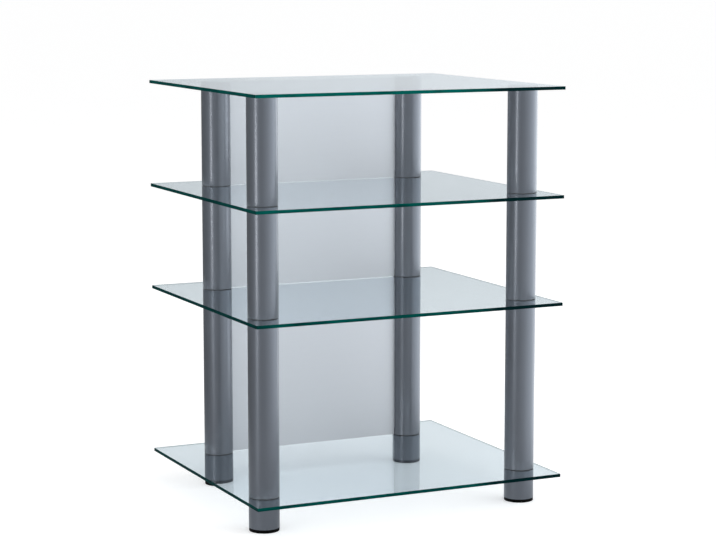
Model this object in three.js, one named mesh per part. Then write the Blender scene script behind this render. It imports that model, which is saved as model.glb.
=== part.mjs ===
// Audio equipment rack: four glass shelves clamped between four stacked tube columns.
// Lengths are millimetres, +Z is up, the front looks towards -Y and the floor is z = 0.
import * as THREE from 'three';

// Shelves
const shelfWidth = 600;
const shelfDepth = 520;
const glassThickness = 6;

// Column centres, measured in from the shelf's side and from its front or back edge
const frontSideInset = 44;
const frontEdgeInset = 77;
const rearSideInset = 99.5;
const rearEdgeInset = 87;

// Column tubes, one length for the tall lower bay and one for the two upper bays
const tubeDiameter = 54.5;
const tubeWall = 2;
const tallTubeLength = 310;
const shortTubeLength = 188;

// Feet: a short tube with a threaded web inside, on a push-in glide
const footLength = 48;
const webThickness = 6;
const glideHeight = 6;
const glideInset = 0.3;
const glideChamfer = 1.2;
const glideStemLength = 20;

// Flanged plugs in the tube ends, whose collars also line the holes in the glass
const plugFlangeThickness = 0.8;
const plugFlangeInset = 0.4;
const plugBodyLength = 12;
const plugCollarLength = 2.8;
const plugCollarWall = 3.3;

// Tie rods and the threaded bosses bonded under the top shelf
const rodDiameter = 8;
const rodTail = 4;
const bossCover = 3;

// Rear panels, slid into slots in the rear tubes
const panelThickness = 2;
const panelGrip = 5;
const panelTopGap = 1;

// Gap left between faces that fit into each other
const clearance = 0.3;

// Facets around the tubes, the plugs and the rods
const tubeSegments = 48;
const plugSegments = 16;
const rodSegments = 16;

// Sizes that follow from the ones above
const tubeRadius = tubeDiameter / 2;
const tubeBore = tubeRadius - tubeWall;
const rodRadius = rodDiameter / 2;
const rodBore = boreAround(rodRadius, plugSegments);
const plugBodyRadius = shaftInside(tubeBore, tubeSegments);
const plugFlangeRadius = tubeRadius - plugFlangeInset;
const collarRadius = rodBore + plugCollarWall;
const glassHoleRadius = boreAround(collarRadius, plugSegments);
const slotHalfWidth = panelThickness / 2 + clearance;
const plugDepth = plugBodyLength + clearance;

const tiers = [
  { name: 'lower', tubeLength: tallTubeLength },
  { name: 'middle', tubeLength: shortTubeLength },
  { name: 'upper', tubeLength: shortTubeLength },
];
const shelfNames = ['bottom', 'lower', 'upper', 'top'];

// Undersides of the four shelves, stacked up from the floor
const shelfUndersides = [glideHeight + footLength + plugFlangeThickness];
for (const tier of tiers) {
  const below = shelfUndersides[shelfUndersides.length - 1];
  shelfUndersides.push(below + glassThickness + tier.tubeLength + 2 * plugFlangeThickness);
}
const topUnderside = shelfUndersides[tiers.length];

const frontX = shelfWidth / 2 - frontSideInset;
const frontY = frontEdgeInset - shelfDepth / 2;
const rearX = shelfWidth / 2 - rearSideInset;
const rearY = shelfDepth / 2 - rearEdgeInset;
const columns = [
  { name: 'front_left', x: -frontX, y: frontY, slotted: false, turn: 0 },
  { name: 'front_right', x: frontX, y: frontY, slotted: false, turn: 0 },
  { name: 'rear_left', x: -rearX, y: rearY, slotted: true, turn: 0 },
  { name: 'rear_right', x: rearX, y: rearY, slotted: true, turn: Math.PI },
];

// Radius of a faceted hole whose flats clear a round piece
function boreAround(radius, segments) {
  return (radius + clearance) / Math.cos(Math.PI / segments);
}

// Radius of a round piece that clears the flats of a faceted hole
function shaftInside(radius, segments) {
  return radius * Math.cos(Math.PI / segments) - clearance;
}

// Materials
function glassMaterial() {
  return new THREE.MeshStandardMaterial({
    color: 0xd6e8e4,
    roughness: 0.04,
    metalness: 0,
    transparent: true,
    opacity: 0.35,
  });
}

function tubeMaterial() {
  return new THREE.MeshStandardMaterial({ color: 0x7d838a, roughness: 0.38, metalness: 0.6 });
}

function panelMaterial() {
  return new THREE.MeshStandardMaterial({ color: 0xc2c8ce, roughness: 0.45, metalness: 0.7 });
}

function blackPlastic() {
  return new THREE.MeshStandardMaterial({ color: 0x17181a, roughness: 0.55, metalness: 0 });
}

function platedSteel() {
  return new THREE.MeshStandardMaterial({ color: 0xb4b6b8, roughness: 0.3, metalness: 1 });
}

// Turns a closed [radius, height] outline about the Z axis
function turned(outline, segments) {
  const points = outline.map(([radius, height]) => new THREE.Vector2(radius, height));
  const geometry = new THREE.LatheGeometry(points, segments);
  geometry.rotateX(Math.PI / 2);
  return geometry;
}

function addPiece(parent, name, geometry, material, x, y, z) {
  const mesh = new THREE.Mesh(geometry, material);
  mesh.name = name;
  mesh.position.set(x, y, z);
  parent.add(mesh);
  return mesh;
}

// A glass plate, drilled at the columns where the rods pass through it
function shelfGeometry(drilled) {
  const shape = new THREE.Shape();
  shape.moveTo(-shelfWidth / 2, -shelfDepth / 2);
  shape.lineTo(shelfWidth / 2, -shelfDepth / 2);
  shape.lineTo(shelfWidth / 2, shelfDepth / 2);
  shape.lineTo(-shelfWidth / 2, shelfDepth / 2);
  shape.closePath();
  for (const column of drilled) {
    const hole = new THREE.Path();
    hole.absarc(column.x, column.y, glassHoleRadius, 0, 2 * Math.PI, true);
    shape.holes.push(hole);
  }
  return new THREE.ExtrudeGeometry(shape, {
    depth: glassThickness,
    bevelEnabled: false,
    curveSegments: plugSegments / 2,
  });
}

function addShelves(rack) {
  shelfUndersides.forEach((height, level) => {
    const drilled = height < topUnderside ? columns : [];
    addPiece(rack, `glass_shelf_${shelfNames[level]}`, shelfGeometry(drilled), glassMaterial(), 0, 0, height);
  });
}

// A plain column tube
function plainTube(length) {
  const outline = [
    [tubeRadius, 0],
    [tubeRadius, length],
    [tubeBore, length],
    [tubeBore, 0],
    [tubeRadius, 0],
  ];
  return turned(outline, tubeSegments);
}

// A rear tube with the panel's slot along its +X side
function slottedTube(length) {
  const outerEdge = Math.asin(slotHalfWidth / tubeRadius);
  const innerEdge = Math.asin(slotHalfWidth / tubeBore);
  const shape = new THREE.Shape();
  shape.absarc(0, 0, tubeRadius, outerEdge, 2 * Math.PI - outerEdge, false);
  shape.absarc(0, 0, tubeBore, 2 * Math.PI - innerEdge, innerEdge, true);
  shape.closePath();
  return new THREE.ExtrudeGeometry(shape, {
    depth: length,
    bevelEnabled: false,
    curveSegments: tubeSegments / 2,
  });
}

// The foot's web carries the thread that the tie rod is screwed into
function footGeometry() {
  const webTop = footLength - plugDepth;
  const webBottom = webTop - webThickness;
  const outline = [
    [tubeRadius, 0],
    [tubeRadius, footLength],
    [tubeBore, footLength],
    [tubeBore, webTop],
    [rodBore, webTop],
    [rodBore, webBottom],
    [tubeBore, webBottom],
    [tubeBore, 0],
    [tubeRadius, 0],
  ];
  return turned(outline, tubeSegments);
}

// The glide stands on the floor and its stem fills the foot from below
function glideGeometry() {
  const rim = tubeRadius - glideInset;
  const stemTop = glideHeight + glideStemLength;
  const outline = [
    [0, 0],
    [rim - glideChamfer, 0],
    [rim, glideChamfer],
    [rim, glideHeight],
    [plugBodyRadius, glideHeight],
    [plugBodyRadius, stemTop],
    [0, stemTop],
  ];
  return turned(outline, tubeSegments);
}

// A plug seen from the glass: collar below zero, flange on the glass, body up in the tube
function plugGeometry() {
  const bodyEnd = plugFlangeThickness + plugBodyLength;
  const outline = [
    [collarRadius, -plugCollarLength],
    [collarRadius, 0],
    [plugFlangeRadius, 0],
    [plugFlangeRadius, plugFlangeThickness],
    [plugBodyRadius, plugFlangeThickness],
    [plugBodyRadius, bodyEnd],
    [rodBore, bodyEnd],
    [rodBore, -plugCollarLength],
    [collarRadius, -plugCollarLength],
  ];
  return turned(outline, plugSegments);
}

// A boss hangs from the top shelf's underside at zero, with a blind thread from below
function bossGeometry() {
  const bodyEnd = -plugFlangeThickness - plugBodyLength;
  const outline = [
    [0, -bossCover],
    [rodBore, -bossCover],
    [rodBore, bodyEnd],
    [plugBodyRadius, bodyEnd],
    [plugBodyRadius, -plugFlangeThickness],
    [plugFlangeRadius, -plugFlangeThickness],
    [plugFlangeRadius, 0],
    [0, 0],
  ];
  return turned(outline, plugSegments);
}

// A rod from below the foot's web to the end of the boss's blind thread
function addTieRod(column, name) {
  const bottom = glideHeight + footLength - plugDepth - webThickness - rodTail;
  const top = topUnderside - bossCover;
  const geometry = new THREE.CylinderGeometry(rodRadius, rodRadius, top - bottom, rodSegments);
  geometry.rotateX(Math.PI / 2);
  addPiece(column, `tie_rod_${name}`, geometry, platedSteel(), 0, 0, (bottom + top) / 2);
}

function addPlug(column, name, height, facesDown) {
  const plug = addPiece(column, `end_plug_${name}`, plugGeometry(), blackPlastic(), 0, 0, height);
  plug.rotation.x = facesDown ? Math.PI : 0;
}

// One column: glide, foot, three tubes with their plugs, boss and tie rod
function addColumn(rack, place) {
  const column = new THREE.Group();
  column.position.set(place.x, place.y, 0);
  rack.add(column);
  addPiece(column, `glide_${place.name}`, glideGeometry(), blackPlastic(), 0, 0, 0);
  addPiece(column, `foot_tube_${place.name}`, footGeometry(), tubeMaterial(), 0, 0, glideHeight);
  addPlug(column, `${place.name}_foot`, shelfUndersides[0], true);
  tiers.forEach((tier, level) => {
    const seat = shelfUndersides[level] + glassThickness;
    const name = `${place.name}_${tier.name}`;
    const geometry = place.slotted ? slottedTube(tier.tubeLength) : plainTube(tier.tubeLength);
    const tubeBottom = seat + plugFlangeThickness;
    const tube = addPiece(column, `column_tube_${name}`, geometry, tubeMaterial(), 0, 0, tubeBottom);
    tube.rotation.z = place.turn;
    addPlug(column, `${name}_base`, seat, false);
    if (shelfUndersides[level + 1] < topUnderside) {
      addPlug(column, `${name}_head`, shelfUndersides[level + 1], true);
    }
  });
  addPiece(column, `glass_boss_${place.name}`, bossGeometry(), platedSteel(), 0, 0, topUnderside);
  addTieRod(column, place.name);
}

// A panel stands on the glass, and its side tongues miss the plugs in the tube ends
function panelGeometry(bayHeight) {
  const halfWidth = rearX - tubeRadius - clearance;
  const tongue = rearX - tubeRadius + panelGrip;
  const height = bayHeight - panelTopGap;
  const notch = plugFlangeThickness + plugDepth;
  const tongueTop = bayHeight - notch;
  const shape = new THREE.Shape();
  shape.moveTo(-halfWidth, 0);
  shape.lineTo(halfWidth, 0);
  shape.lineTo(halfWidth, notch);
  shape.lineTo(tongue, notch);
  shape.lineTo(tongue, tongueTop);
  shape.lineTo(halfWidth, tongueTop);
  shape.lineTo(halfWidth, height);
  shape.lineTo(-halfWidth, height);
  shape.lineTo(-halfWidth, tongueTop);
  shape.lineTo(-tongue, tongueTop);
  shape.lineTo(-tongue, notch);
  shape.lineTo(-halfWidth, notch);
  shape.closePath();
  const geometry = new THREE.ExtrudeGeometry(shape, { depth: panelThickness, bevelEnabled: false });
  geometry.rotateX(Math.PI / 2);
  return geometry;
}

function addPanels(rack) {
  tiers.forEach((tier, level) => {
    const seat = shelfUndersides[level] + glassThickness;
    const bayHeight = shelfUndersides[level + 1] - seat;
    const back = rearY + panelThickness / 2;
    addPiece(rack, `rear_panel_${tier.name}`, panelGeometry(bayHeight), panelMaterial(), 0, back, seat);
  });
}

const rack = new THREE.Group();
rack.name = 'audio_rack';
addShelves(rack);
addPanels(rack);
for (const place of columns) {
  addColumn(rack, place);
}

export default rack;
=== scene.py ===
import math

import bmesh
import bpy
import numpy as np
from mathutils import Euler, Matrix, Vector


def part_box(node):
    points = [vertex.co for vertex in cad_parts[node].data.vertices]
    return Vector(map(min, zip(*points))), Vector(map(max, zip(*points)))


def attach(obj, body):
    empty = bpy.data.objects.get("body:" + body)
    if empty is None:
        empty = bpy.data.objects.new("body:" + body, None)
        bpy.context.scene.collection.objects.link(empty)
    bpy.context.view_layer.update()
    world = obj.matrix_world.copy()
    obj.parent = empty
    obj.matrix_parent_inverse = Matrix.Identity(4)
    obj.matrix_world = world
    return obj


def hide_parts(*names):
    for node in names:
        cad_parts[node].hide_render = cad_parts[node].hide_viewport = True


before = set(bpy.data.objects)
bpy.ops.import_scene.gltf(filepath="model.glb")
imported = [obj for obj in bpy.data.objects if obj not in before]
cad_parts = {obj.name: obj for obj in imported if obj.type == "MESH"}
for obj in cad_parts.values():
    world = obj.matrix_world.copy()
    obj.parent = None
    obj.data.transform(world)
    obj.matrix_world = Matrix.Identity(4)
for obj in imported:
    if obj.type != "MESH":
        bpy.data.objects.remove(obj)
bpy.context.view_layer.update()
print("frame loaded:", len(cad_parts), "nodes")

mm = 0.001
corners = ("front_left", "front_right", "rear_left", "rear_right")
tiers = ("lower", "middle", "upper")


# Camera: the photograph's viewing angle
cameraSettings = {
    "place": (-1.676, -3.580, 0.984),
    "turn": 25.25,  # degrees to the right of straight ahead
    "tilt": 8.08,  # degrees downwards
    "lens": 108.0,
    "sensor": 36.0,
    "clip": (0.05, 200.0),  # nearest and farthest that it sees
}


def makeCamera():
    cam = bpy.data.cameras.new("rackCamera")
    cam.sensor_width = cameraSettings["sensor"]
    cam.lens = cameraSettings["lens"]
    cam.clip_start, cam.clip_end = cameraSettings["clip"]
    obj = bpy.data.objects.new("rackCamera", cam)
    obj.location = cameraSettings["place"]
    tilt = math.radians(90 - cameraSettings["tilt"])
    obj.rotation_euler = Euler((tilt, 0, -math.radians(cameraSettings["turn"])))
    bpy.context.scene.collection.objects.link(obj)
    bpy.context.scene.camera = obj


makeCamera()
print("camera placed")


# Node helpers

def newMaterial(name):
    mat = bpy.data.materials.new(name)
    mat.use_nodes = True
    tree = mat.node_tree
    tree.nodes.clear()
    out = tree.nodes.new("ShaderNodeOutputMaterial")
    shader = tree.nodes.new("ShaderNodeBsdfPrincipled")
    tree.links.new(shader.outputs["BSDF"], out.inputs["Surface"])
    return mat, tree, shader


def addNode(tree, kind, **values):
    node = tree.nodes.new(kind)
    for key, value in values.items():
        setattr(node, key, value)
    return node


# Links the socket to another one, or gives it a plain value.
def feed(tree, socket, value):
    if isinstance(value, bpy.types.NodeSocket):
        tree.links.new(value, socket)
    else:
        socket.default_value = value


def addMath(tree, operation, a, b=None):
    node = addNode(tree, "ShaderNodeMath", operation=operation)
    for socket, value in zip(node.inputs, (a, b)):
        if value is not None:
            feed(tree, socket, value)
    return node.outputs[0]


def addScaled(tree, vector, gain):
    node = addNode(tree, "ShaderNodeVectorMath", operation="SCALE")
    feed(tree, node.inputs[0], vector)
    feed(tree, node.inputs["Scale"], gain)
    return node.outputs["Vector"]


# How far the vector reaches along the axis.
def addDot(tree, vector, axis):
    node = addNode(tree, "ShaderNodeVectorMath", operation="DOT_PRODUCT")
    feed(tree, node.inputs[0], vector)
    feed(tree, node.inputs[1], axis)
    return node.outputs["Value"]


def addNoise(tree, vector, scale, detail, roughness):
    node = addNode(tree, "ShaderNodeTexNoise")
    settings = {"Vector": vector, "Scale": scale, "Detail": detail, "Roughness": roughness}
    for name, value in settings.items():
        feed(tree, node.inputs[name], value)
    return node.outputs["Fac"]


# Eases from target[0] to target[1] while the value runs from source[0] to source[1].
def addFade(tree, value, source, target):
    node = addNode(tree, "ShaderNodeMapRange", interpolation_type="SMOOTHSTEP")
    tree.links.new(value, node.inputs["Value"])
    node.inputs["From Min"].default_value, node.inputs["From Max"].default_value = source
    node.inputs["To Min"].default_value, node.inputs["To Max"].default_value = target
    return node.outputs["Result"]


def addMix(tree, factor, a, b):
    node = addNode(tree, "ShaderNodeMix", data_type="RGBA")
    for name, value in {"Factor": factor, "A": a, "B": b}.items():
        feed(tree, node.inputs[name], value)
    return node.outputs["Result"]


def objectCoords(tree, stretch=(1, 1, 1)):
    coords = addNode(tree, "ShaderNodeTexCoord")
    mapping = addNode(tree, "ShaderNodeMapping")
    mapping.inputs["Scale"].default_value = stretch
    tree.links.new(coords.outputs["Object"], mapping.inputs["Vector"])
    return mapping.outputs["Vector"]


def splitVector(tree, vector):
    node = addNode(tree, "ShaderNodeSeparateXYZ")
    tree.links.new(vector, node.inputs[0])
    return node.outputs


# The bump's two values are its depth in metres and its strength.
def addBump(tree, shader, height, bump):
    node = addNode(tree, "ShaderNodeBump")
    node.inputs["Distance"].default_value, node.inputs["Strength"].default_value = bump
    tree.links.new(height, node.inputs["Height"])
    tree.links.new(node.outputs["Normal"], shader.inputs["Normal"])


# The material shows the second shader in place of the first, as far as the factor says.
def switchShader(tree, factor, first, second):
    mix = addNode(tree, "ShaderNodeMixShader")
    tree.links.new(factor, mix.inputs[0])
    tree.links.new(first.outputs[0], mix.inputs[1])
    tree.links.new(second.outputs[0], mix.inputs[2])
    out = next(n for n in tree.nodes if n.type == "OUTPUT_MATERIAL")
    tree.links.new(mix.outputs[0], out.inputs["Surface"])


# Soft patches and fine grain: varies a colour, a roughness and a height over the surface.
mottleNoise = {"detail": 3.0, "roughness": 0.5}
mottleSockets = (
    ("INPUT", "NodeSocketVector", ("Vector",)),
    ("INPUT", "NodeSocketColor", ("Color",)),
    ("INPUT", "NodeSocketFloat", ("Patch Scale", "Grain Scale", "Color Spread")),
    ("INPUT", "NodeSocketFloat", ("Roughness", "Roughness Spread")),
    ("OUTPUT", "NodeSocketColor", ("Color",)),
    ("OUTPUT", "NodeSocketFloat", ("Roughness", "Height")),
)


def makeMottleGroup():
    group = bpy.data.node_groups.new("finishMottle", "ShaderNodeTree")
    for way, kind, names in mottleSockets:
        for name in names:
            group.interface.new_socket(name, in_out=way, socket_type=kind)
    source = group.nodes.new("NodeGroupInput").outputs
    target = group.nodes.new("NodeGroupOutput").inputs
    patches = addNoise(group, source["Vector"], source["Patch Scale"], **mottleNoise)
    grain = addNoise(group, source["Vector"], source["Grain Scale"], **mottleNoise)
    swing = addMath(group, "SUBTRACT", addMath(group, "ADD", patches, grain), 1.0)
    gain = addMath(group, "ADD", 1.0, addMath(group, "MULTIPLY", swing, source["Color Spread"]))
    group.links.new(addScaled(group, source["Color"], gain), target["Color"])
    rough = addMath(group, "MULTIPLY", swing, source["Roughness Spread"])
    group.links.new(addMath(group, "ADD", rough, source["Roughness"]), target["Roughness"])
    group.links.new(grain, target["Height"])
    return group


mottle = makeMottleGroup()


# A material whose colour and roughness come from the mottle group, with the finish's own values.
# Gives back the grain's height too.
def mottledMaterial(name, finish):
    mat, tree, shader = newMaterial(name)
    look = addNode(tree, "ShaderNodeGroup", node_tree=mottle)
    settings = {
        "Vector": objectCoords(tree, finish.get("stretch", (1, 1, 1))),
        "Color": finish["colour"],
        "Roughness": finish["roughness"],
        **finish["mottle"],
    }
    for key, value in settings.items():
        feed(tree, look.inputs[key], value)
    tree.links.new(look.outputs["Color"], shader.inputs["Base Color"])
    tree.links.new(look.outputs["Roughness"], shader.inputs["Roughness"])
    setShader(shader, finish)
    return mat, tree, shader, look.outputs["Height"]


def setShader(shader, finish):
    for key, value in finish["shader"].items():
        shader.inputs[key].default_value = value


# A finish whose own grain also roughens its surface.
def grainyMaterial(name, finish):
    mat, tree, shader, grain = mottledMaterial(name, finish)
    addBump(tree, shader, grain, finish["bump"])
    return mat


# Finishes

tubeFinish = {
    "colour": (0.155, 0.167, 0.191, 1),
    "roughness": 0.34,
    "shader": {"Metallic": 0.75, "Coat Weight": 0.30, "Coat Roughness": 0.12},
    "mottle": {"Patch Scale": 9.0, "Grain Scale": 1400.0, "Color Spread": 0.18, "Roughness Spread": 0.08},
    "peel": (420.0, 1.0, 0.55),  # scale, detail and roughness of the orange peel
    "bump": (0.000006, 0.25),  # depth in metres, strength
}


# Grey metallic paint: fine flake, soft clouding and a slight orange peel.
def tubePaint():
    mat, tree, shader, _ = mottledMaterial("tubePaint", tubeFinish)
    addBump(tree, shader, addNoise(tree, objectCoords(tree), *tubeFinish["peel"]), tubeFinish["bump"])
    return mat


# Satin silver sheet with a fine grain along its width
panelFinish = {
    "colour": (0.755, 0.768, 0.798, 1),
    "roughness": 0.45,
    "shader": {"Metallic": 0.6},
    "stretch": (6.0, 1.0, 900.0),
    "mottle": {"Patch Scale": 1.2, "Grain Scale": 4.0, "Color Spread": 0.035, "Roughness Spread": 0.08},
    "bump": (0.00001, 0.3),
}

# Black moulded plastic with a fine spark-eroded grain
mouldingGrain = {
    "mottle": {"Patch Scale": 40.0, "Grain Scale": 1600.0, "Color Spread": 0.5, "Roughness Spread": 0.25},
    "bump": (0.00004, 0.6),
}
plugFinish = {
    "colour": (0.115, 0.118, 0.126, 1),
    "roughness": 0.5,
    "shader": {"Specular IOR Level": 0.5},
    **mouldingGrain,
}
glideFinish = {
    "colour": (0.0015, 0.0015, 0.0016, 1),
    "roughness": 0.6,
    "shader": {"Specular IOR Level": 0.06},
    **mouldingGrain,
}

# Turned aluminium with a fine matt grain
bossFinish = {
    "colour": (0.66, 0.67, 0.68, 1),
    "roughness": 0.34,
    "shader": {"Metallic": 1.0},
    "mottle": {"Patch Scale": 60.0, "Grain Scale": 900.0, "Color Spread": 0.12, "Roughness Spread": 0.15},
    "bump": (0.00003, 0.4),
}

rodFinish = {
    "colour": (0.60, 0.62, 0.65, 1),
    "roughness": 0.30,
    "shader": {"Metallic": 1.0},
    "mottle": {"Patch Scale": 50.0, "Grain Scale": 800.0, "Color Spread": 0.15, "Roughness Spread": 0.15},
    "thread": 250.0,  # scale of the bands
    "bump": (0.0004, 0.8),
}


# Zinc-plated rod: bright and slightly blue, with the thread as fine bands along its length.
def platedSteel():
    mat, tree, shader, _ = mottledMaterial("platedSteel", rodFinish)
    wave = addNode(tree, "ShaderNodeTexWave", bands_direction="Z")
    wave.inputs["Scale"].default_value = rodFinish["thread"]
    tree.links.new(objectCoords(tree), wave.inputs["Vector"])
    addBump(tree, shader, wave.outputs["Fac"], rodFinish["bump"])
    return mat


glassFinish = {
    "tint": (0.785, 0.875, 0.925, 1),
    "clouds": (3.0, 1.0, 0.55),  # scale, detail and roughness of the tint's soft clouds
    "cloudTone": 0.985,  # the tint's brightness in them
    "shade": (0.93, 0.945, 0.955, 1),  # what a plate lets through of the light on the floor
    "stretch": (1.0, 2.5, 1.0),
    "wiping": (14.0, 5.0, 0.7),  # scale, detail and roughness of the smears
    "wipedFrom": 0.62,  # the higher, the fewer smears
    "smear": 0.035,  # roughness that a smear adds
    "roughness": 0.0,
    "shader": {"Metallic": 0.0, "Transmission Weight": 1.0, "IOR": 1.5},
}


# Clear float glass: a faint cool tint and wiped smears that only show in the gloss. Lamps and the room
# light what lies under it, as thin clear plates let them.
def glassFace():
    mat, tree, shader = newMaterial("glassFace")
    setShader(shader, glassFinish)
    vector = objectCoords(tree, glassFinish["stretch"])
    wiping = addNoise(tree, vector, *glassFinish["wiping"])
    wiped = addMath(tree, "GREATER_THAN", wiping, glassFinish["wipedFrom"])
    smear = addMath(tree, "MULTIPLY", wiped, glassFinish["smear"])
    tree.links.new(addMath(tree, "ADD", smear, glassFinish["roughness"]), shader.inputs["Roughness"])
    cloudTint = tuple(glassFinish["cloudTone"] * c for c in glassFinish["tint"][:3]) + (1,)
    clouds = addNoise(tree, vector, *glassFinish["clouds"])
    tree.links.new(addMix(tree, clouds, glassFinish["tint"], cloudTint), shader.inputs["Base Color"])
    rays = addNode(tree, "ShaderNodeLightPath")
    lighting = addMath(tree, "MAXIMUM", rays.outputs["Is Shadow Ray"], rays.outputs["Is Diffuse Ray"])
    clear = addNode(tree, "ShaderNodeBsdfTransparent")
    clear.inputs["Color"].default_value = glassFinish["shade"]
    switchShader(tree, lighting, shader, clear)
    return mat


edgeFinish = {
    "deep": (0.001, 0.012, 0.015, 1),
    "bright": (0.001, 0.125, 0.105, 1),
    "inside": (0.30, 0.38, 0.39, 1),  # painted glow: how the edge shines seen through the plate
    "shader": {"Roughness": 0.10, "IOR": 1.5, "Specular IOR Level": 0.005, "Emission Strength": 1.0},
    "stretch": (1.0, 1.0, 9.0),  # makes the streaks run along the edge
    "streakNoise": (16.0, 3.0, 0.6),  # scale, detail and roughness
    # Each pair of pairs: from where to where, and how green the edge is at either end
    "streaks": ((0.15, 0.85), (0.2, 1.1)),  # by the noise
    "farSide": ((0.11, 0.17), (1.0, 0.08)),  # painted shade: along X, the edge turns deep towards the far end
    "flanks": ((0.3, 0.7), (1.0, 0.42)),  # painted shade: darker from the front and back edges to the shelf's sides
    "shelves": ((0.45, 0.80), (0.66, 1.50)),  # painted shade: the higher the shelf, the greener its edge, the lower shelves darker
}


# Polished glass edge: deep green in long streaks, with painted shade towards the far end, on the sides
# and on the lower shelves, and a painted glow where it shows through the plate.
def glassEdge():
    mat, tree, shader = newMaterial("glassEdge")
    setShader(shader, edgeFinish)
    noise = addNoise(tree, objectCoords(tree, edgeFinish["stretch"]), *edgeFinish["streakNoise"])
    place = splitVector(tree, objectCoords(tree))
    facing = splitVector(tree, addNode(tree, "ShaderNodeTexCoord").outputs["Normal"])
    flank = addMath(tree, "ABSOLUTE", facing["X"])
    # The streaks are the glass's own; the far end, the sides and the lower shelves get painted shade
    streaksAndPaintedShade = addFade(tree, noise, *edgeFinish["streaks"])
    for value, name in ((place["X"], "farSide"), (flank, "flanks"), (place["Z"], "shelves")):
        streaksAndPaintedShade = addMath(tree, "MULTIPLY", streaksAndPaintedShade, addFade(tree, value, *edgeFinish[name]))
    green = addMix(tree, streaksAndPaintedShade, edgeFinish["deep"], edgeFinish["bright"])
    tree.links.new(green, shader.inputs["Base Color"])
    # Painted glow: the edge's faces seen from inside the plate emit the inside colour
    side = addNode(tree, "ShaderNodeNewGeometry").outputs["Backfacing"]
    glow = addMix(tree, side, (0, 0, 0, 1), edgeFinish["inside"])
    tree.links.new(glow, shader.inputs["Emission Color"])
    return mat


finishes = {
    "tube": tubePaint(),
    "panel": grainyMaterial("panelSilver", panelFinish),
    "glass": glassFace(),
    "glassEdge": glassEdge(),
    "plug": grainyMaterial("plugMoulding", plugFinish),
    "glide": grainyMaterial("glideMoulding", glideFinish),
    "boss": grainyMaterial("turnedAluminium", bossFinish),
    "rod": platedSteel(),
}
print("finishes made:", len(finishes))


# Mesh helpers

meshSettings = {
    "merge": 1e-6,  # points closer than this become one
    "sharpAngle": 35.0,  # degrees
    "flatNormal": 0.99999,  # faces this square to an axis are shaded flat
    "cornerSteps": 4,  # points in a rounded corner
    "hold": 0.6 * mm,  # how far from its ends a long run gets its support points
    "longRun": 4,  # a run longer than this many times hold gets them
}


def camelName(node):
    first, *rest = node.split("_")
    return first + "".join(word.capitalize() for word in rest)


# Points and faces into a closed, outward-facing object with soft shading up to the sharp angle.
def finishMesh(name, points, faces, materials, faceMaterial=None, sharpAngle=meshSettings["sharpAngle"]):
    mesh = bpy.data.meshes.new(name)
    mesh.from_pydata(points.tolist(), [], faces)
    if faceMaterial is not None:
        mesh.polygons.foreach_set("material_index", np.asarray(faceMaterial, np.int32))
    bm = bmesh.new()
    bm.from_mesh(mesh)
    bmesh.ops.remove_doubles(bm, verts=bm.verts, dist=meshSettings["merge"])
    bmesh.ops.recalc_face_normals(bm, faces=bm.faces)
    bm.to_mesh(mesh)
    bm.free()
    for material in materials:
        mesh.materials.append(material)
    normals = np.empty(len(mesh.polygons) * 3)
    mesh.polygons.foreach_get("normal", normals)
    flat = (np.abs(normals.reshape(-1, 3)) > meshSettings["flatNormal"]).any(1)
    mesh.set_sharp_from_angle(angle=math.radians(sharpAngle))
    mesh.polygons.foreach_set("use_smooth", ~flat)
    obj = bpy.data.objects.new(name, mesh)
    bpy.context.scene.collection.objects.link(obj)
    return obj


# Quads of a rows-by-columns grid of points stored row after row.
def gridFaces(rows, columns, wrapRows, wrapColumns, first=0):
    i = np.arange(rows if wrapRows else rows - 1)
    j = np.arange(columns if wrapColumns else columns - 1)
    i, j = np.meshgrid(i, j, indexing="ij")
    row, nextRow = i * columns, (i + 1) % rows * columns
    nextColumn = (j + 1) % columns
    quads = np.stack((row + j, row + nextColumn, nextRow + nextColumn, nextRow + j), -1)
    return (quads.reshape(-1, 4) + first).tolist()


def unit(vectors):
    return vectors / np.linalg.norm(vectors, axis=1, keepdims=True)


# An outline of (x, y, corner radius) points with each corner turned into an arc, whose centre lies on
# the line that halves the corner.
def roundedOutline(outline, closed=True):
    pts, radii = np.split(np.array(outline, float), [2], axis=1)
    before, after = unit(np.roll(pts, 1, 0) - pts), unit(np.roll(pts, -1, 0) - pts)
    half = np.arccos(np.clip((before * after).sum(1, keepdims=True), -1, 1)) / 2
    reach = radii / np.tan(half)
    centre = pts + unit(before + after) * radii / np.sin(half)
    start, end = pts + before * reach - centre, pts + after * reach - centre
    a0, a1 = (np.arctan2(p[:, 1:], p[:, :1]) for p in (start, end))
    swing = (a1 - a0 + np.pi) % (2 * np.pi) - np.pi
    angles = a0 + swing * np.linspace(0, 1, meshSettings["cornerSteps"])
    arcs = centre[:, None] + radii[:, None] * np.stack((np.cos(angles), np.sin(angles)), -1)
    sharp = radii[:, 0] == 0
    if not closed:
        sharp[[0, -1]] = True
    arcs[sharp] = pts[sharp][:, None]
    kept = np.ones(angles.shape, bool)
    kept[sharp, 1:] = False
    return arcs[kept]


# Puts a point close to both ends of each long straight run, so that the soft shading of the rounded
# corners stays at the corners.
def steadyRuns(profile, closed):
    hold = meshSettings["hold"]
    run = np.roll(profile, -1, 0) - profile
    length = np.linalg.norm(run, axis=1, keepdims=True)
    way = run / length * hold
    long = length[:, 0] > meshSettings["longRun"] * hold
    if not closed:
        long[-1] = False
    kept = np.stack((np.ones_like(long), long, long), 1)
    return np.stack((profile, profile + way, profile + run - way), 1)[kept]


# A profile of (radius, height) carried round the upright through centre: x and y are the centre's plus
# the radius times the angle's cosine and sine.
def carriedRound(profile, centre, angles):
    radius, height = profile[:, :1], profile[:, 1:]
    x = centre[0] + radius * np.cos(angles)
    y = centre[1] + radius * np.sin(angles)
    z = height + np.zeros(angles.shape[-1])
    return np.stack((x, y, z), -1).reshape(-1, 3)


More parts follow.
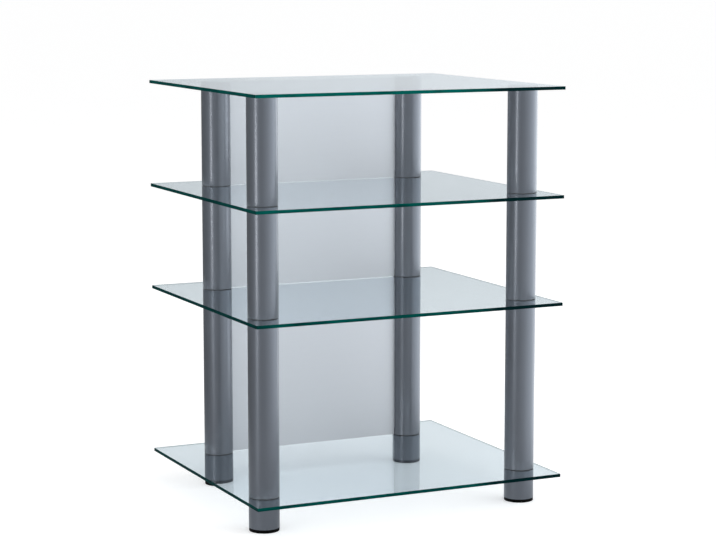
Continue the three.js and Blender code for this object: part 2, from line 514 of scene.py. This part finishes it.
# An outline of (radius, height, corner radius) turned about the upright through centre.
# Closed outlines make rings, open ones start and end on the axis.
def turnedPiece(name, outline, centre, segments, material, closed=True):
    profile = steadyRuns(roundedOutline(outline, closed), closed)
    points = carriedRound(profile, centre, np.linspace(0, 2 * np.pi, segments, endpoint=False))
    return finishMesh(name, points, gridFaces(len(profile), segments, closed, True), [material])


# The piece takes its CAD node's place.
def standFor(piece, node):
    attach(piece, "root")
    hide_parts(node)


# Centre, radius, lowest and highest level of a turned CAD node.
def upright(node):
    lo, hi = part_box(node)
    return ((lo.x + hi.x) / 2, (lo.y + hi.y) / 2), (hi.x - lo.x) / 2, lo.z, hi.z


# Column tubes

tubeSettings = {
    "wall": 2.0 * mm,
    "lip": 0.25 * mm,  # rounding of the cut ends
    "slot": 1.3 * mm,  # half the width of the panel's slot
    "segments": 96,
}


# The wall's cut section as (radius, height, corner radius), outside first.
def tubeSection(radius, low, high):
    inner = radius - tubeSettings["wall"]
    lip = tubeSettings["lip"]
    return [(radius, low, lip), (radius, high, lip), (inner, high, lip), (inner, low, lip)]


# The wall's section swept round from one side of the slot to the other. Each point starts and ends at
# the angle whose sine is half the slot over its radius, so the slot's sides are parallel.
def slottedTube(name, centre, radius, low, high, towards, material):
    section = steadyRuns(roundedOutline(tubeSection(radius, low, high)), True)
    rows, columns = len(section), tubeSettings["segments"]
    edge = np.arcsin(tubeSettings["slot"] / section[:, :1])
    angles = edge + (2 * np.pi - 2 * edge) * np.linspace(0, 1, columns) + (0 if towards > 0 else np.pi)
    faces = gridFaces(rows, columns, True, False)
    faces.append(list(range(0, rows * columns, columns)))
    faces.append(list(range(columns - 1, rows * columns, columns)))
    return finishMesh(name, carriedRound(section, centre, angles), faces, [material])


def makeColumnTubes():
    for corner in corners:
        for tier in tiers:
            node = f"column_tube_{corner}_{tier}"
            name = camelName(node)
            centre, radius, low, high = upright(node)
            if corner.startswith("rear"):
                piece = slottedTube(name, centre, radius, low, high, -centre[0], finishes["tube"])
            else:
                section = tubeSection(radius, low, high)
                piece = turnedPiece(name, section, centre, tubeSettings["segments"], finishes["tube"])
            standFor(piece, node)


makeColumnTubes()
print("column tubes made")


# Feet and glides

footSettings = {
    "recess": 12.3 * mm,  # room for the plug above the web
    "web": 6.0 * mm,
    "bore": 4.35 * mm,
}


def makeFootTubes():
    for corner in corners:
        node = f"foot_tube_{corner}"
        centre, radius, low, high = upright(node)
        inner, bore, lip = radius - tubeSettings["wall"], footSettings["bore"], tubeSettings["lip"]
        webTop = high - footSettings["recess"]
        webBottom = webTop - footSettings["web"]
        outline = [
            (radius, low, lip), (radius, high, lip), (inner, high, lip), (inner, webTop, 0),
            (bore, webTop, lip), (bore, webBottom, lip), (inner, webBottom, 0), (inner, low, lip),
        ]
        piece = turnedPiece(camelName(node), outline, centre, tubeSettings["segments"], finishes["tube"])
        standFor(piece, node)


glideSettings = {
    "height": 6.0 * mm,
    "stem": 24.7 * mm,
    "rim": 0.9 * mm,  # rounding of the rim on the floor
    "topLip": 0.3 * mm,
    "stemLip": 0.8 * mm,
    "dish": 0.5 * mm,  # how far the middle is drawn in
    "land": 6.0 * mm,  # width of the ring that stands on the floor
    "segments": 96,
}


def makeGlides():
    s = glideSettings
    for corner in corners:
        node = f"glide_{corner}"
        centre, radius, low, high = upright(node)
        top = low + s["height"]
        land, dish = radius - s["land"], s["dish"]
        outline = [
            (0, low + dish, 0), (land - dish, low + dish, 0), (land, low, dish / 2),
            (radius, low, s["rim"]), (radius, top, s["topLip"]),
            (s["stem"], top, 0), (s["stem"], high, s["stemLip"]), (0, high, 0),
        ]
        piece = turnedPiece(camelName(node), outline, centre, s["segments"], finishes["glide"], False)
        standFor(piece, node)


makeFootTubes()
makeGlides()
print("feet made")


# End plugs and bosses

plugSettings = {
    "gap": 0.02 * mm,  # a hair's breadth between flange and glass
    "flange": 0.8 * mm,
    "collar": 2.8 * mm,
    "collarRadius": 7.68 * mm,
    "bore": 4.38 * mm,
    "body": 24.7 * mm,
    "flangeLip": 0.2 * mm,
    "boreLip": 0.3 * mm,
    "bodyLip": 0.6 * mm,
    "bossCover": 3.0 * mm,  # closed thickness over the boss's bore
    "segments": 64,
}


# A collar in the glass's hole, a flange against the glass and a body inside the tube, with a bore.
def makeEndPlugs():
    s = plugSettings
    for node in sorted(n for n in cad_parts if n.startswith("end_plug_")):
        centre, radius, low, high = upright(node)
        facesDown = node.endswith(("_head", "_foot"))
        glassLevel = high - s["collar"] if facesDown else low + s["collar"]
        way = -1 if facesDown else 1
        end = low if facesDown else high
        face = glassLevel + way * s["gap"]
        step = glassLevel + way * s["flange"]
        tip = glassLevel - way * s["collar"]
        outline = [
            (s["collarRadius"], tip, s["boreLip"]), (s["collarRadius"], face, 0),
            (radius, face, s["flangeLip"]), (radius, step, s["flangeLip"]),
            (s["body"], step, 0), (s["body"], end, s["bodyLip"]),
            (s["bore"], end, s["boreLip"]), (s["bore"], tip, s["boreLip"]),
        ]
        piece = turnedPiece(camelName(node), outline, centre, s["segments"], finishes["plug"])
        standFor(piece, node)


# A closed flanged body under the top shelf, bored from below.
def makeGlassBosses():
    s = plugSettings
    for corner in corners:
        node = f"glass_boss_{corner}"
        centre, radius, low, high = upright(node)
        face, step, ceiling = high - s["gap"], high - s["flange"], high - s["bossCover"]
        outline = [
            (0, ceiling, 0), (s["bore"], ceiling, 0), (s["bore"], low, s["boreLip"]),
            (s["body"], low, s["bodyLip"]), (s["body"], step, 0),
            (radius, step, s["flangeLip"]), (radius, face, s["flangeLip"]), (0, face, 0),
        ]
        piece = turnedPiece(camelName(node), outline, centre, s["segments"], finishes["boss"], False)
        standFor(piece, node)


makeEndPlugs()
makeGlassBosses()
print("plugs and bosses made")


# Rear panels

panelSettings = {
    "shoulder": 27.55 * mm,  # from the rear column's centre to the sheet's visible edge
    "notch": 13.1 * mm,  # how far the tongues stay short of the glass below
    "edge": 0.25 * mm,  # rounding of the sheet's edges
    "steps": 4,
}


# A flat outline in X and Z given its thickness front to back. The rim is rounded over: each ring is the
# outline moved inwards by edge times one less the sine of its turn.
def sheetPlate(name, outline, front, back, material):
    edge = panelSettings["edge"]
    along = unit(outline - np.roll(outline, 1, 0)) + unit(np.roll(outline, -1, 0) - outline)
    mitre = np.stack((-along[:, 1], along[:, 0]), 1)  # inwards, as the outline runs anticlockwise
    turn = np.linspace(0, np.pi / 2, panelSettings["steps"])
    inset = edge * (1 - np.sin(turn))
    depth = edge * (1 - np.cos(turn))
    insets = np.concatenate((inset, inset[::-1]))
    levels = np.concatenate((front + depth, back - depth[::-1]))
    rings = outline + insets[:, None, None] * mitre
    rows, columns = rings.shape[:2]
    y = np.broadcast_to(levels[:, None], (rows, columns))
    points = np.stack((rings[..., 0], y, rings[..., 1]), -1).reshape(-1, 3)
    faces = gridFaces(rows, columns, False, True)
    faces.append(list(range(columns)))
    faces.append(list(range((rows - 1) * columns, rows * columns)))
    return finishMesh(name, points, faces, [material])


def makeRearPanels():
    for tier in tiers:
        node = f"rear_panel_{tier}"
        lo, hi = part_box(node)
        column, _, tubeLow, tubeHigh = upright(f"column_tube_rear_right_{tier}")
        half = column[0] - panelSettings["shoulder"]
        low = lo.z + panelSettings["notch"]
        high = tubeHigh - (low - tubeLow)
        side = np.array([
            (half, lo.z), (half, low), (hi.x, low), (hi.x, high), (half, high), (half, hi.z),
        ])
        outline = np.concatenate((side, side[::-1] * (-1, 1)))
        standFor(sheetPlate(camelName(node), outline, lo.y, hi.y, finishes["panel"]), node)


makeRearPanels()
print("rear panels made")


# Glass shelves

glassSettings = {
    "arris": 0.3 * mm,  # width of the ground corner between face and edge
    "arrisSteps": 4,
    "hole": 8.16 * mm,
    "perSide": 12,  # points along each side of a quarter plate
    "rings": 5,
    "sharpAngle": 30.0,
}


# Evenly spaced points from each stop up to the next, without the last stop.
def pointsBetween(stops):
    t = np.arange(glassSettings["perSide"])[:, None] / glassSettings["perSide"]
    points = stops[:-1, None] + np.diff(stops, axis=0)[:, None] * t
    return points.reshape(-1, stops.shape[1])


# Rings from a round hole out to a rectangle, as an array of ring, point, (x, y): each ring lies a fixed
# share of the way from the hole's rim to the rectangle's border.
def quarterRings(x0, x1, y0, y1, hole, radius):
    corner = np.array([(x0, y0), (x1, y0), (x1, y1), (x0, y1), (x0, y0)])
    border = pointsBetween(corner)
    heading = np.unwrap(np.arctan2(*(corner - hole).T[::-1]))
    angle = pointsBetween(heading[:, None])[:, 0]
    rim = hole + radius * np.stack((np.cos(angle), np.sin(angle)), 1)
    share = np.linspace(0, 1, glassSettings["rings"])[:, None, None]
    return rim + (border - rim) * share


# Points along the plate's border that match the quarter plates' sides, with their outward directions.
def borderPath(x0, x1, y0, y1, middle):
    path = pointsBetween(np.array([
        (x0, y0), (0, y0), (x1, y0), (x1, middle), (x1, y1), (0, y1), (x0, y1), (x0, middle), (x0, y0),
    ]))
    outwards = (path == (x1, y1)) * 1.0 - (path == (x0, y0)) * 1.0
    return path, outwards


# Gives the (x, y) points of a grid their height.
def raised(flat, level):
    return np.concatenate((flat, np.broadcast_to(level, flat.shape[:2] + (1,))), -1)


# A glass plate: quarter plates round the four holes, hole walls, and a rim with its arrises rounded.
def shelfPlate(name, lo, hi, holes, radius):
    arris = glassSettings["arris"]
    x0, x1, y0, y1 = lo.x + arris, hi.x - arris, lo.y + arris, hi.y - arris
    middle = (holes[0][1] + holes[2][1]) / 2
    points, faces, slots = [], [], []

    def add(grid, slotIndex):
        first = sum(len(p) for p in points)
        quads = gridFaces(*grid.shape[:2], False, True, first)
        points.append(grid.reshape(-1, 3))
        faces.extend(quads)
        slots.extend([slotIndex] * len(quads))

    for x, y in holes:
        across = (x0, 0.0) if x < 0 else (0.0, x1)
        along = (y0, middle) if y < middle else (middle, y1)
        flat = quarterRings(*across, *along, np.array((x, y)), radius)
        for level in (lo.z, hi.z):
            add(raised(flat, level), 0)
        if radius > 0:
            wall = np.broadcast_to(flat[0], (2,) + flat[0].shape)
            add(raised(wall, np.array([lo.z, hi.z])[:, None, None]), 0)
    path, outwards = borderPath(x0, x1, y0, y1, middle)
    turn = np.linspace(0, np.pi / 2, glassSettings["arrisSteps"])
    reach = arris * np.sin(turn)
    drop = arris * (1 - np.cos(turn))
    offsets = np.concatenate((reach, reach[::-1]))[:, None, None]
    levels = np.concatenate((lo.z + drop, hi.z - drop[::-1]))[:, None, None]
    add(raised(path + outwards * offsets, levels), 1)
    materials = [finishes["glass"], finishes["glassEdge"]]
    return finishMesh(name, np.concatenate(points), faces, materials, slots, glassSettings["sharpAngle"])


def makeShelves():
    holes = [upright(f"tie_rod_{corner}")[0] for corner in corners]
    for level in ("bottom", "lower", "upper", "top"):
        node = f"glass_shelf_{level}"
        lo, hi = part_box(node)
        radius = 0.0 if level == "top" else glassSettings["hole"]
        standFor(shelfPlate(camelName(node), lo, hi, holes, radius), node)


makeShelves()
print("shelves made")


# Tie rods keep their CAD solids

def finishTieRods():
    for corner in corners:
        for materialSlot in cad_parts[f"tie_rod_{corner}"].material_slots:
            materialSlot.material = finishes["rod"]


finishTieRods()
print("tie rods finished")


# Floor, room and lamps

studio = {
    "floorGlow": (0.38, 0.50),  # glow under the rack and out to where the floor is plain white
    "glowReach": (0.9, 3.0),
    "floorSize": 60.0,
    "room": (0.62, 0.62, 0.62, 1),  # soft light from all round
    "glossTint": (0.94, 1.00, 1.05),  # the gloss on metal and glass is slightly cool
    "horizon": 2.0,  # how many times as bright the gloss sees the room low down
    "horizonReach": (0.05, 0.14),
    "brightAxis": (0.94, 0.34, 0),  # level direction to the room's bright side
    "nearTone": (0.60, 1.10),  # what the gloss sees of the floor close to the rack, along brightAxis
    "nearSides": (0.05, 0.45),  # metres along brightAxis from one tone to the other
    "nearReach": (0.45, 1.1),  # metres from the rack's middle to where the floor's own tones take over
    "brightGain": (1.0, 1.5),  # how those grow along brightAxis
    "brightReach": (2.5, 8.5),
    "lampAim": (0, 0, 0.4),
}

floorFinish = {
    "colour": (0.80, 0.80, 0.80, 1),
    "roughness": 0.85,
    "shader": {"Specular IOR Level": 0.1, "Emission Color": (1, 1, 1, 1)},
    "mottle": {"Patch Scale": 1.5, "Grain Scale": 300.0, "Color Spread": 0.01, "Roughness Spread": 0.1},
}

# What metal and glass show of the pale room: degrees from the camera's side to the right, brightness
roomStops = [
    (-180, 0.38), (-172, 0.30), (-150, 0.28), (-110, 0.38), (-60, 0.50), (0, 0.42),
    (50, 0.72), (110, 0.74), (150, 0.56), (172, 0.44), (180, 0.38),
]
floorStops = [
    (-180, 0.40), (-165, 0.22), (-140, 0.22), (-100, 0.28), (-62, 0.44), (-52, 0.48), (-42, 1.02),
    (-32, 0.55), (0, 0.60), (35, 0.98), (70, 1.66), (110, 2.25), (145, 1.72), (170, 0.60), (180, 0.40),
]

cameraTurn = math.radians(cameraSettings["turn"])
pictureRight = (math.cos(cameraTurn), -math.sin(cameraTurn), 0)
pictureFront = (-math.sin(cameraTurn), -math.cos(cameraTurn), 0)  # level, towards the camera


# Turns a direction into its angle round the upright and reads the brightness there.
def roomTone(tree, direction, toneStops):
    right, front = (addDot(tree, direction, axis) for axis in (pictureRight, pictureFront))
    turns = addMath(tree, "DIVIDE", addMath(tree, "ARCTAN2", right, front), 2 * math.pi)
    ramp = addNode(tree, "ShaderNodeValToRGB")
    ramp.color_ramp.interpolation = "EASE"
    stops = ramp.color_ramp.elements
    stops.remove(stops[1])
    for k, (degrees, tone) in enumerate(toneStops):
        where = (degrees + 180) / 360
        stop = stops[0] if k == 0 else stops.new(where)
        stop.position = where
        stop.color = tuple(tone * c for c in studio["glossTint"]) + (1,)
    tree.links.new(addMath(tree, "ADD", turns, 0.5), ramp.inputs["Fac"])
    return ramp.outputs["Color"]


# Two masks: rays that show the background white (seen directly or through glass), and mirrored ones.
def backgroundRays(tree):
    rays = addNode(tree, "ShaderNodeLightPath").outputs
    seen = addMath(tree, "MAXIMUM", rays["Is Camera Ray"], rays["Is Transmission Ray"])
    gloss = addMath(tree, "SUBTRACT", rays["Is Glossy Ray"], rays["Is Transmission Ray"])
    return seen, gloss


# A pale floor that looks white apart from the rack's shadow. The gloss sees it as the lower half of the
# room: two tones of its own close to the rack, and floorStops farther off.
def makeFloor():
    size = studio["floorSize"]
    mesh = bpy.data.meshes.new("studioFloor")
    square = [(-size, -size, 0), (size, -size, 0), (size, size, 0), (-size, size, 0)]
    mesh.from_pydata(square, [], [(0, 1, 2, 3)])
    floor = bpy.data.objects.new("studioFloor", mesh)
    bpy.context.scene.collection.objects.link(floor)
    mat, tree, shader, _ = mottledMaterial("floorWhite", floorFinish)
    mesh.materials.append(mat)
    seen, gloss = backgroundRays(tree)
    vector = objectCoords(tree)
    length = addNode(tree, "ShaderNodeVectorMath", operation="LENGTH")
    tree.links.new(vector, length.inputs[0])
    reach = length.outputs["Value"]
    glow = addFade(tree, reach, studio["glowReach"], studio["floorGlow"])
    tree.links.new(addMath(tree, "MULTIPLY", seen, glow), shader.inputs["Emission Strength"])
    across = addDot(tree, vector, studio["brightAxis"])
    nearTone = addFade(tree, across, studio["nearSides"], studio["nearTone"])
    near = addScaled(tree, studio["glossTint"], nearTone)
    farGain = addFade(tree, across, studio["brightReach"], studio["brightGain"])
    far = addScaled(tree, roomTone(tree, vector, floorStops), farGain)
    away = addFade(tree, reach, studio["nearReach"], (0.0, 1.0))
    sheen = addNode(tree, "ShaderNodeEmission")
    tree.links.new(addMix(tree, away, near, far), sheen.inputs["Color"])
    switchShader(tree, gloss, shader, sheen)


# White where the background shows, pale and softly graded in the gloss, plain soft light for the rest.
def makeRoom():
    world = bpy.data.worlds.new("studioRoom")
    bpy.context.scene.world = world
    world.use_nodes = True
    tree = world.node_tree
    tree.nodes.clear()
    seen, gloss = backgroundRays(tree)
    direction = addNode(tree, "ShaderNodeTexCoord").outputs["Generated"]
    height = splitVector(tree, direction)["Z"]
    low = addFade(tree, height, studio["horizonReach"], (studio["horizon"], 1.0))
    graded = addScaled(tree, roomTone(tree, direction, roomStops), low)
    light = addMix(tree, gloss, studio["room"], graded)
    room = addNode(tree, "ShaderNodeBackground")
    tree.links.new(addMix(tree, seen, light, (1, 1, 1, 1)), room.inputs["Color"])
    out = addNode(tree, "ShaderNodeOutputWorld")
    tree.links.new(room.outputs[0], out.inputs["Surface"])


# Azimuth is counted in degrees from the front to the right.
lamps = {
    "keyRight": {"azimuth": 62, "elevation": 58, "distance": 3.4, "size": (2.4, 2.4), "power": 36},
    "stripLeft": {"azimuth": -66, "elevation": -1.1, "distance": 2.7, "size": (0.44, 0.60), "power": 5.2},
    "fillLeft": {"azimuth": -70, "elevation": 55, "distance": 3.4, "size": (2.4, 2.4), "power": 14},
    "topSoft": {"azimuth": 0, "elevation": 86, "distance": 3.2, "size": (2.6, 2.6), "power": 30},
}


def makeLamp(name, azimuth, elevation, distance, size, power):
    a, e = math.radians(azimuth), math.radians(elevation)
    out = Vector((math.sin(a) * math.cos(e), -math.cos(a) * math.cos(e), math.sin(e)))
    light = bpy.data.lights.new(name, "AREA")
    light.shape = "RECTANGLE"
    light.size, light.size_y = size
    light.energy = power
    obj = bpy.data.objects.new(name, light)
    obj.location = Vector(studio["lampAim"]) + out * distance
    obj.rotation_euler = (-out).to_track_quat("-Z", "Y").to_euler()
    obj.visible_camera = False
    obj.visible_transmission = False  # no bright patch behind the glass
    bpy.context.scene.collection.objects.link(obj)


makeFloor()
makeRoom()
for lampName, lamp in lamps.items():
    makeLamp(lampName, **lamp)
print("studio made")

bpy.context.scene.view_settings.view_transform = "Standard"
